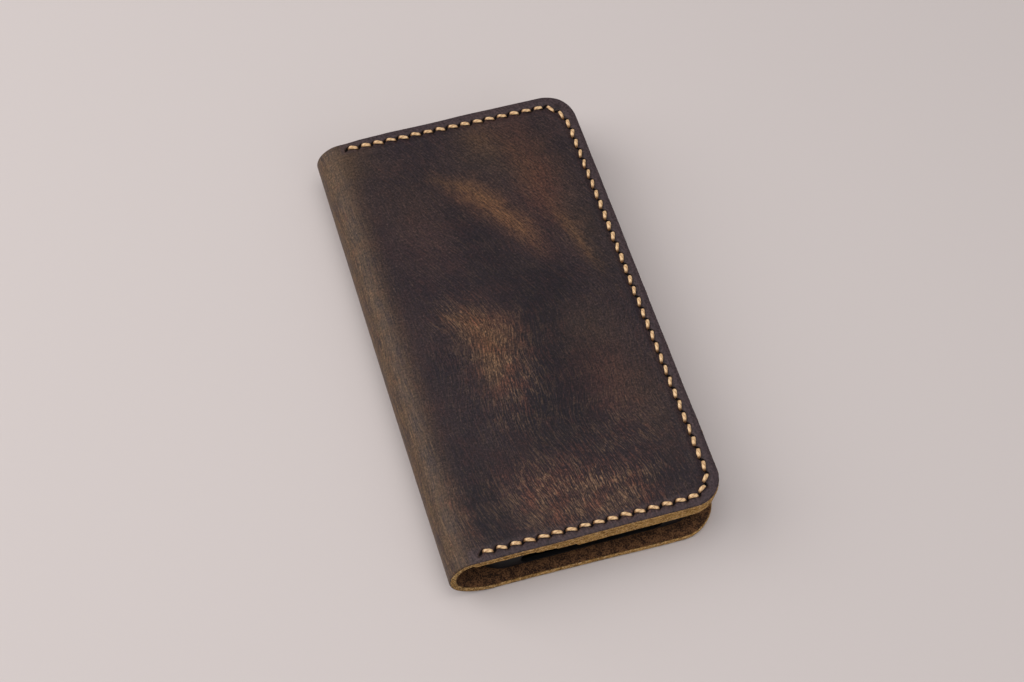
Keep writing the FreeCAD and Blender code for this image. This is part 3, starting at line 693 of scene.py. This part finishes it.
def thread(name, pairs, z_of, side, seed, proud=0.32, tilt=-0.30, wide=0.55, high=0.38):
    """Short lens-shaped stitches between pairs of holes. side is 1 for the upper face and -1 for the lower one."""
    rng = np.random.default_rng(seed)
    n_along, n_round = 22, 14
    verts, faces, ply = [], [], []
    t = np.linspace(-1, 1, n_along)
    ang = np.linspace(0, 2 * math.pi, n_round, endpoint=False)
    for (ax, ay), (bx, by) in pairs:
        d = np.array([bx - ax, by - ay])
        length = np.linalg.norm(d)
        d /= length
        if d[0] < -0.5:
            # keep one lean for the whole border
            (ax, ay), (bx, by), d = (bx, by), (ax, ay), -d
        q = np.array([-d[1], d[0]])
        mid = np.array([(ax + bx) / 2, (ay + by) / 2]) + rng.normal(0, 0.05, 2)
        half = length / 2 * (0.82 + rng.normal(0, 0.025))
        lean = tilt + rng.normal(0, 0.07)
        fat = 1 + rng.normal(0, 0.07)
        phase = rng.uniform(0, 2 * math.pi)
        c = mid + np.outer(t * half, d) + np.outer(lean * np.sin(t * 1.35), q)
        z0 = float(z_of(ax)) + (float(z_of(bx)) - float(z_of(ax))) * (t + 1) / 2
        rise = proud * (1 - np.abs(t) ** 2.4) - 0.75 * np.abs(t) ** 7
        z = z0 + side * (rise - 0.10)
        shape = (1 - 0.42 * np.abs(t) ** 2.6) * fat
        ridge = 1 + 0.075 * np.cos(3 * ang[None, :] + (t * half * 2 * math.pi / 3.1 * 1.5)[:, None] + phase)
        w = wide * shape[:, None] * ridge * np.cos(ang)[None, :]
        u = high * shape[:, None] * ridge * np.sin(ang)[None, :]
        first = len(verts)
        for i in range(n_along):
            for k in range(n_round):
                xy = c[i] + q * w[i, k]
                verts.append((xy[0], xy[1], z[i] + side * u[i, k]))
                ply.append((t[i] * half, ang[k], len(faces) * 0.01))
        for i in range(n_along - 1):
            for k in range(n_round):
                a, b = first + i * n_round + k, first + i * n_round + (k + 1) % n_round
                f = (a, b, b + n_round, a + n_round)
                faces.append(f if side < 0 else f[::-1])
        e0 = [first + k for k in range(n_round)]
        e1 = [first + (n_along - 1) * n_round + k for k in range(n_round)]
        faces.append(tuple(e0 if side > 0 else e0[::-1]))
        faces.append(tuple(e1[::-1] if side > 0 else e1))
    ob = build_mesh(name, np.array(verts), faces)
    pl = np.array(ply)
    put(ob.data, "tc", np.stack([pl[:, 0], pl[:, 1], pl[:, 2]], 1), "FLOAT_VECTOR")
    return ob


border = [(tuple(a), tuple(b)) for a, b in zip(HOLES[:-1], HOLES[1:])]
top_z = lambda x: 18.0
thread_top = thread("thread_border_outside", border, top_z, 1, 501)
thread_in = thread("thread_border_inside", border, face_z, -1, 502, proud=0.22)
rows_far = [((-12.5 + 4 * i - 2, 45.0), (-12.5 + 4 * i + 2, 45.0)) for i in range(12)]
rows_near = [((-12.5 + 4 * i - 2, -45.4), (-12.5 + 4 * i + 2, -45.4)) for i in range(12)]
thread_far = thread("thread_cards_far", rows_far, face_z, -1, 503, proud=0.2, wide=0.42, high=0.32)
thread_near = thread("thread_cards_near", rows_near, face_z, -1, 504, proud=0.2, wide=0.42, high=0.32)


# --------------------------------------------------------------------------
# materials
# --------------------------------------------------------------------------
class Nodes:
    """A short way to write node trees."""

    def __init__(self, name):
        self.mat = bpy.data.materials.new(name)
        self.mat.use_nodes = True
        self.t = self.mat.node_tree
        self.t.nodes.clear()
        self.out = self.t.nodes.new("ShaderNodeOutputMaterial")

    def node(self, kind, props=None, **inputs):
        n = self.t.nodes.new(kind)
        for k, v in (props or {}).items():
            setattr(n, k, v)
        for k, v in inputs.items():
            self.set(n, k.replace("_", " "), v)
        return n

    def set(self, n, key, value):
        sock = n.inputs[int(key)] if key.isdigit() else n.inputs[key]
        if isinstance(value, bpy.types.NodeSocket):
            self.t.links.new(value, sock)
        else:
            sock.default_value = value

    def attr(self, name):
        n = self.node("ShaderNodeAttribute", {"attribute_type": "GEOMETRY", "attribute_name": name})
        return n.outputs["Fac"]

    def attr_vec(self, name):
        return self.node("ShaderNodeAttribute", {"attribute_type": "GEOMETRY", "attribute_name": name}).outputs["Vector"]

    def math(self, op, a, b=0.0, c=None, clamp=False):
        n = self.t.nodes.new("ShaderNodeMath")
        n.operation = op
        n.use_clamp = clamp
        for i, v in enumerate((a, b, c)):
            if v is not None:
                self.set(n, str(i), v)
        return n.outputs[0]

    def vmath(self, op, a, b):
        n = self.t.nodes.new("ShaderNodeVectorMath")
        n.operation = op
        self.set(n, "0", a)
        self.set(n, "1", b)
        return n.outputs[0]

    def scaled(self, vec, x, y, z):
        return self.vmath("MULTIPLY", vec, (x, y, z))

    def ramp(self, v, a, b, lo=0.0, hi=1.0, kind="SMOOTHSTEP"):
        n = self.t.nodes.new("ShaderNodeMapRange")
        n.interpolation_type = kind
        n.clamp = True
        self.set(n, "0", v)
        n.inputs[1].default_value = a
        n.inputs[2].default_value = b
        n.inputs[3].default_value = lo
        n.inputs[4].default_value = hi
        return n.outputs[0]

    def mix(self, f, a, b, mode="MIX"):
        n = self.t.nodes.new("ShaderNodeMix")
        n.data_type = "RGBA"
        n.blend_type = mode
        n.clamp_factor = True
        self.set(n, "0", f)
        self.set(n, "6", a)
        self.set(n, "7", b)
        return n.outputs[2]

    def noise(self, vec, scale=1.0, detail=3.0, rough=0.5, distortion=0.0, w=None):
        n = self.node("ShaderNodeTexNoise", {"noise_dimensions": "3D"})
        self.set(n, "Vector", vec)
        n.inputs["Scale"].default_value = scale
        n.inputs["Detail"].default_value = detail
        n.inputs["Roughness"].default_value = rough
        n.inputs["Distortion"].default_value = distortion
        return n.outputs["Fac"]

    def voronoi(self, vec, scale=1.0, feature="F1", randomness=1.0):
        n = self.node("ShaderNodeTexVoronoi", {"feature": feature})
        self.set(n, "Vector", vec)
        n.inputs["Scale"].default_value = scale
        n.inputs["Randomness"].default_value = randomness
        return n.outputs["Distance"]

    def bump(self, height, strength, distance, normal=None):
        n = self.node("ShaderNodeBump")
        n.inputs["Strength"].default_value = strength
        n.inputs["Distance"].default_value = distance
        self.set(n, "Height", height)
        if normal is not None:
            self.set(n, "Normal", normal)
        return n.outputs["Normal"]


def leather(name, grain_dark, grain_mid, gloss=0.52, level=0.24, suede=None):
    m = Nodes(name)
    lc = m.attr_vec("lc")
    raw, flesh = m.attr("raw"), m.attr("flesh")
    pull, red, olive = m.attr("pull"), m.attr("red"), m.attr("olive")
    creased, dark, spine = m.attr("creased"), m.attr("dark"), m.attr("spine")
    slit, margin_painted_highlight = m.attr("slit"), m.attr("margin_painted_highlight")

    # broad cloudiness, then fibres that run up and down the cover
    fl = m.attr_vec("fl")
    cloud = m.noise(lc, 0.045, 3, 0.55)
    patchy = m.noise(lc, 0.16, 4, 0.6)
    drift = m.vmath("SUBTRACT", m.node("ShaderNodeTexNoise", Vector=lc, Scale=0.045, Detail=0.0).outputs["Color"], (0.5, 0.5, 0.5))
    jog = m.vmath("SUBTRACT", m.node("ShaderNodeTexNoise", Vector=lc, Scale=0.35, Detail=0.0).outputs["Color"], (0.5, 0.5, 0.5))
    bent = m.vmath("ADD", m.vmath("ADD", fl, m.scaled(drift, 6.0, 1.5, 0.0)), m.scaled(jog, 0.45, 0.2, 0.0))
    fibre = m.noise(m.scaled(bent, 2.4, 0.34, 1.0), 1.0, 3, 0.65)
    speck = m.noise(lc, 1.5, 3, 0.8)
    blotch = m.noise(lc, 0.9, 3, 0.65)
    pore = m.voronoi(lc, 1.35)

    # fine light creases, a pixel or two wide and a few millimetres long
    def creases(ax, ay, off, thin, wide, lo, hi):
        n = m.noise(m.vmath("ADD", m.scaled(bent, ax, ay, 0.9), (off, off * 1.7, 0.0)), 1.0, 1.5, 0.5)
        ridge = m.math("ABSOLUTE", m.math("SUBTRACT", n, 0.5))
        line = m.ramp(ridge, thin, wide, 1.0, 0.0)
        gate = m.noise(m.vmath("ADD", m.scaled(bent, ax * 1.4, ay * 1.6, 0.9), (off + 31.0, off, 0.0)), 1.0, 1.0, 0.5)
        return m.math("MULTIPLY", line, m.ramp(gate, lo, hi))

    line1 = creases(0.85, 0.085, 0.0, 0.004, 0.026, 0.38, 0.48)
    line2 = creases(1.25, 0.12, 17.0, 0.005, 0.034, 0.40, 0.52)
    line3 = creases(1.80, 0.19, 43.0, 0.008, 0.045, 0.42, 0.56)
    lines = m.math("MAXIMUM", m.math("MAXIMUM", line1, line2), m.math("MULTIPLY", line3, 0.75))

    base = m.mix(m.ramp(cloud, 0.36, 0.66), grain_dark, grain_mid)
    base = m.mix(m.math("MULTIPLY", m.ramp(patchy, 0.5, 0.72), 0.4), base, lin(56, 39, 38))
    base = m.mix(m.math("MULTIPLY", dark, 0.82), base, lin(20, 14, 22))
    base = m.mix(m.math("MULTIPLY", olive, m.ramp(patchy, 0.3, 0.7, 0.35, 0.85)), base, lin(66, 54, 38))
    base = m.mix(m.math("MULTIPLY", red, m.ramp(fibre, 0.38, 0.62, 0.35, 0.8)), base, lin(86, 48, 37))
    streak = m.math("ADD", m.ramp(fibre, 0.40, 0.62, 0.32, 0.80), m.math("MULTIPLY", lines, 0.4), clamp=True)
    base = m.mix(m.math("MULTIPLY", pull, streak), base, lin(126, 90, 56))
    streaky = m.noise(m.scaled(bent, 0.9, 0.09, 1.0), 1.0, 4, 0.7)
    # painted sheen on the fold, partly the lighter tone of its stretched grain: olive-tan mixed in over the fold band
    fold_tone_and_sheen_amount = m.math("MULTIPLY", spine, m.ramp(m.math("ADD", m.math("MULTIPLY", streaky, 0.6), m.math("MULTIPLY", patchy, 0.4)), 0.36, 0.60, 0.15, 0.95))
    base = m.mix(fold_tone_and_sheen_amount, base, lin(88, 69, 50))
    # light hairlines where the hide is creased, dark between them
    base = m.mix(m.math("MULTIPLY", m.math("MULTIPLY", creased, m.ramp(lines, 0.0, 0.5, 1.0, 0.0)), 0.30), base, lin(28, 20, 24))
    hair = m.math("MULTIPLY", m.math("MULTIPLY", lines, m.math("ADD", m.math("MULTIPLY", creased, 0.80), m.math("ADD", m.math("MULTIPLY", spine, 0.22), 0.10))), 0.72)
    hair_col = m.mix(m.ramp(patchy, 0.42, 0.6), lin(148, 114, 86), lin(128, 80, 62))
    base = m.mix(hair, base, hair_col)
    # painted highlight: the margin outside the stitches is lightened as if catching the light where it rolls toward the
    # edge
    base = m.mix(m.math("MULTIPLY", margin_painted_highlight, 0.6), base, lin(70, 57, 60))
    # fibre and speck contrast everywhere
    shade = m.ramp(m.math("ADD", m.math("MULTIPLY", fibre, 0.34), m.math("MULTIPLY", speck, 0.66)), 0.39, 0.61, 0.38, 1.62, "LINEAR")
    tint = m.node("ShaderNodeCombineColor", Red=shade, Green=shade, Blue=shade).outputs[0]
    base = m.mix(1.0, base, tint, "MULTIPLY")
    base = m.mix(m.ramp(speck, 0.61, 0.72, 0.0, 0.40), base, lin(112, 92, 80))
    # painted shade in the awl holes: darker brown round each slit and near black inside it
    base = m.mix(m.ramp(slit, 1.35, 2.0, 0.6, 0.0), base, lin(44, 24, 16))
    base = m.mix(m.ramp(slit, 1.0, 1.22, 1.0, 0.0), base, lin(5, 2, 2))

    # cut edge: mottled tan
    e1 = m.noise(lc, 0.75, 4, 0.7)
    e2 = m.noise(lc, 1.8, 3, 0.8)
    edge_col = m.mix(m.ramp(e1, 0.38, 0.62), lin(136, 100, 50), lin(188, 146, 84))
    edge_col = m.mix(m.ramp(e2, 0.52, 0.66, 0.0, 0.85), edge_col, lin(232, 194, 146))
    edge_col = m.mix(m.ramp(e2, 0.33, 0.48, 0.9, 0.0), edge_col, lin(82, 54, 26))
    # the fold's cut edge and the lower cover's are dyed by handling
    edge_col = m.mix(m.math("MULTIPLY", spine, m.ramp(e2, 0.42, 0.54, 0.8, 0.0)), edge_col, lin(76, 60, 40))
    edge_col = m.mix(m.math("MULTIPLY", spine, m.ramp(e2, 0.54, 0.66, 0.0, 0.7)), edge_col, lin(196, 172, 124))
    # suede
    f1 = m.noise(m.scaled(lc, 1.0, 1.0, 1.0), 0.5, 4, 0.6)
    f2 = m.noise(lc, 2.0, 3, 0.75)
    sued = suede or (lin(42, 26, 18), lin(118, 82, 54))
    flesh_col = m.mix(m.ramp(m.math("ADD", m.math("MULTIPLY", f1, 0.4), m.math("MULTIPLY", f2, 0.6)), 0.42, 0.60), sued[0], sued[1])
    flesh_col = m.mix(m.ramp(f2, 0.60, 0.72, 0.0, 0.35), flesh_col, lin(146, 108, 74))
    wob = m.math("MULTIPLY", m.math("SUBTRACT", speck, 0.5), 0.9)
    is_raw = m.ramp(m.math("ADD", raw, wob), 0.35, 0.72)
    is_flesh = m.ramp(m.math("ADD", flesh, m.math("MULTIPLY", wob, 0.4)), 0.35, 0.75)
    col = m.mix(is_raw, base, edge_col)
    col = m.mix(is_flesh, col, flesh_col)

    # surface relief
    h1 = m.math("MULTIPLY", m.math("SUBTRACT", 1.0, m.ramp(pore, 0.0, 0.5)), -0.35)
    h2 = m.math("MULTIPLY", fibre, 0.9)
    h3 = m.math("MULTIPLY", m.math("MULTIPLY", lines, creased), 1.2)
    grain_h = m.math("ADD", m.math("ADD", h1, h2), m.math("ADD", h3, m.math("MULTIPLY", speck, 0.6)))
    nap_h = m.math("ADD", m.math("MULTIPLY", e2, 1.6), m.math("MULTIPLY", e1, 1.2))
    blend = m.math("MAXIMUM", is_raw, is_flesh)
    hmix = m.node("ShaderNodeMix", {"data_type": "FLOAT"})
    m.set(hmix, "0", blend)
    m.set(hmix, "2", grain_h)
    m.set(hmix, "3", nap_h)
    normal = m.bump(hmix.outputs[0], 0.55, 0.00012)

    rough = m.ramp(m.math("ADD", m.math("MULTIPLY", patchy, 0.6), m.math("MULTIPLY", fibre, 0.4)), 0.3, 0.7, gloss - 0.08, gloss + 0.12, "LINEAR")
    rough = m.math("ADD", rough, m.math("MULTIPLY", blend, 0.4), clamp=True)
    rough = m.math("MAXIMUM", rough, m.ramp(slit, 1.0, 1.6, 1.0, 0.0))
    b = m.node("ShaderNodeBsdfPrincipled")
    m.set(b, "Base Color", col)
    m.set(b, "Roughness", rough)
    m.set(b, "Normal", normal)
    b.inputs["Specular IOR Level"].default_value = level
    m.t.links.new(b.outputs[0], m.out.inputs[0])
    return m.mat


mat_leather = leather("oiled_leather", lin(32, 23, 30), lin(45, 33, 36))
mat_pocket = leather("pocket_leather", lin(40, 30, 31), lin(56, 42, 38), gloss=0.58)


def thread_material():
    m = Nodes("waxed_thread")
    tc = m.attr_vec("tc")
    sep = m.node("ShaderNodeSeparateXYZ", Vector=tc)
    # plies wind round the thread
    turn = m.math("ADD", m.math("MULTIPLY", sep.outputs[0], 3.0), m.math("MULTIPLY", sep.outputs[1], 3.0))
    ply = m.math("SINE", turn)
    groove = m.ramp(ply, -1.0, -0.35, 1.0, 0.0)
    pos = m.node("ShaderNodeAttribute", {"attribute_type": "GEOMETRY", "attribute_name": "tc"}).outputs["Vector"]
    n1 = m.noise(m.scaled(pos, 1.5, 0.8, 1.0), 1.0, 3, 0.6)
    n2 = m.noise(m.scaled(pos, 9.0, 2.0, 1.0), 1.0, 2, 0.6)
    col = m.mix(m.ramp(n1, 0.3, 0.7), lin(202, 154, 104), lin(236, 196, 146))
    # painted highlight: pale streaks along the thread
    col = m.mix(m.ramp(n2, 0.46, 0.66, 0.0, 0.7), col, lin(255, 230, 190))
    # painted shade in the grooves between the plies
    col = m.mix(m.math("MULTIPLY", groove, 0.5), col, lin(134, 86, 46))
    # painted shade at each stitch's ends, where the thread dives into its holes
    ends = m.ramp(m.math("ABSOLUTE", sep.outputs[0]), 0.85, 1.55, 0.0, 0.9)
    col = m.mix(ends, col, lin(104, 62, 28))
    b = m.node("ShaderNodeBsdfPrincipled")
    m.set(b, "Base Color", col)
    m.set(b, "Roughness", m.ramp(n1, 0.3, 0.7, 0.42, 0.58))
    h = m.math("ADD", m.math("MULTIPLY", ply, 0.6), m.math("MULTIPLY", n2, 0.8))
    m.set(b, "Normal", m.bump(h, 0.5, 0.00012))
    b.inputs["Specular IOR Level"].default_value = 0.4
    m.t.links.new(b.outputs[0], m.out.inputs[0])
    return m.mat


def shell_material():
    m = Nodes("black_polycarbonate")
    geo = m.node("ShaderNodeTexCoord").outputs["Object"]
    mm = m.scaled(geo, 1000.0, 1000.0, 1000.0)
    n1 = m.noise(mm, 2.6, 2, 0.6)
    n2 = m.noise(mm, 0.12, 3, 0.6)
    n3 = m.noise(m.scaled(mm, 0.4, 0.05, 0.4), 1.0, 3, 0.6)
    col = m.mix(m.ramp(n2, 0.3, 0.7), lin(11, 10, 12), lin(18, 17, 20))
    b = m.node("ShaderNodeBsdfPrincipled")
    m.set(b, "Base Color", col)
    m.set(b, "Roughness", m.ramp(m.math("ADD", m.math("MULTIPLY", n2, 0.5), m.math("MULTIPLY", n3, 0.5)), 0.35, 0.65, 0.46, 0.60, "LINEAR"))
    m.set(b, "Normal", m.bump(n1, 0.25, 0.00003))
    b.inputs["Specular IOR Level"].default_value = 0.2
    m.t.links.new(b.outputs[0], m.out.inputs[0])
    return m.mat


def foam_material():
    m = Nodes("foam_tape")
    geo = m.node("ShaderNodeTexCoord").outputs["Object"]
    mm = m.scaled(geo, 1000.0, 1000.0, 1000.0)
    v = m.voronoi(mm, 3.2)
    n = m.noise(mm, 0.3, 3, 0.6)
    col = m.mix(m.ramp(v, 0.0, 0.6), lin(30, 30, 30), lin(62, 60, 58))
    col = m.mix(m.ramp(n, 0.4, 0.7, 0.0, 0.4), col, lin(46, 44, 43))
    b = m.node("ShaderNodeBsdfPrincipled")
    m.set(b, "Base Color", col)
    b.inputs["Roughness"].default_value = 0.95
    m.set(b, "Normal", m.bump(v, 0.5, 0.0001))
    m.t.links.new(b.outputs[0], m.out.inputs[0])
    return m.mat


mat_thread, mat_shell, mat_foam = thread_material(), shell_material(), foam_material()
for ob in (front, back):
    ob.data.materials.clear()
    ob.data.materials.append(mat_leather)
for ob, _ in panel_objects:
    ob.data.materials.append(mat_pocket)
for ob in (thread_top, thread_in, thread_far, thread_near):
    ob.data.materials.append(mat_thread)


def repaint(node, mat):
    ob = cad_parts[node]
    if not ob.material_slots:
        ob.data.materials.append(mat)
    for slot in ob.material_slots:
        slot.material = mat


repaint("phone_shell", mat_shell)
repaint("shell_adhesive_pad", mat_foam)

# --------------------------------------------------------------------------
# what each piece rides on
# --------------------------------------------------------------------------
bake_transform(back)
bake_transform(front)
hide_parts("back_cover_leather", "spine_leather")
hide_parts("front_cover_leather", "spine_leather")
for ob, node in panel_objects:
    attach(ob, "front")
    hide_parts(node)
for ob, nodes in (
    (thread_top, ["border_stitching"]),
    (thread_in, ["border_stitching"]),
    (thread_far, ["card_stitching_far"]),
    (thread_near, ["card_stitching_near"]),
):
    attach(ob, "front")
    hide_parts(*nodes)

# --------------------------------------------------------------------------
# floor, light and camera
# --------------------------------------------------------------------------
floor_me = bpy.data.meshes.new("studio_floor")
F = 3.0
floor_me.from_pydata([(-F, -F, -4e-5), (F, -F, -4e-5), (F, F, -4e-5), (-F, F, -4e-5)], [], [(0, 1, 2, 3)])
floor = bpy.data.objects.new("studio_floor", floor_me)
scene.collection.objects.link(floor)
fm = Nodes("studio_floor")
fb = fm.node("ShaderNodeBsdfPrincipled")
fb.inputs["Base Color"].default_value = lin(206, 197, 195)
fb.inputs["Roughness"].default_value = 0.9
fb.inputs["Specular IOR Level"].default_value = 0.1
fm.t.links.new(fb.outputs[0], fm.out.inputs[0])
floor_me.materials.append(fm.mat)


def area(name, place_, target, size, power, colour=(1, 1, 1), size_y=None):
    light = bpy.data.lights.new(name, "AREA")
    light.shape = "RECTANGLE" if size_y else "SQUARE"
    light.size = size
    if size_y:
        light.size_y = size_y
    light.energy = power
    light.color = colour
    ob = bpy.data.objects.new(name, light)
    scene.collection.objects.link(ob)
    ob.location = place_
    ob.rotation_mode = "QUATERNION"
    ob.rotation_quaternion = (Vector(target) - Vector(place_)).to_track_quat("-Z", "Y")
    return ob


area("light_window", (-0.85, 0.35, 0.62), (0, 0, 0), 0.9, 7.0, (1.0, 0.985, 0.97))
area("light_overhead", (-0.1, -0.1, 1.3), (0, 0, 0), 1.2, 9.5, (1.0, 0.99, 0.98))
area("light_near", (0.35, -0.9, 0.7), (0, 0, 0), 0.8, 1.6, (1.0, 0.985, 0.975))

world = bpy.data.worlds.new("studio")
scene.world = world
world.use_nodes = True
bg = world.node_tree.nodes["Background"]
bg.inputs[0].default_value = (0.98, 0.98, 1.0, 1)
bg.inputs[1].default_value = 0.26

cam_data = bpy.data.cameras.new("camera")
cam_data.lens = 62.656
cam_data.sensor_width = 36.0
cam_data.clip_start, cam_data.clip_end = 0.01, 20
cam = bpy.data.objects.new("camera", cam_data)
scene.collection.objects.link(cam)
R = (
    (0.9555415573765978, 0.22823930891501693, -0.18667391352918555),
    (-0.2908507157372076, 0.8336093951883404, -0.4695755928590024),
    (0.04843751935700687, 0.5029932346659596, 0.8629319860793289),
)
cam.matrix_world = Matrix(
    ((*R[0], -0.099556), (*R[1], -0.252034), (*R[2], 0.465465), (0, 0, 0, 1))
)
scene.camera = cam
scene.view_settings.view_transform = "Standard"
scene.view_settings.look = "None"

bpy.context.view_layer.update()
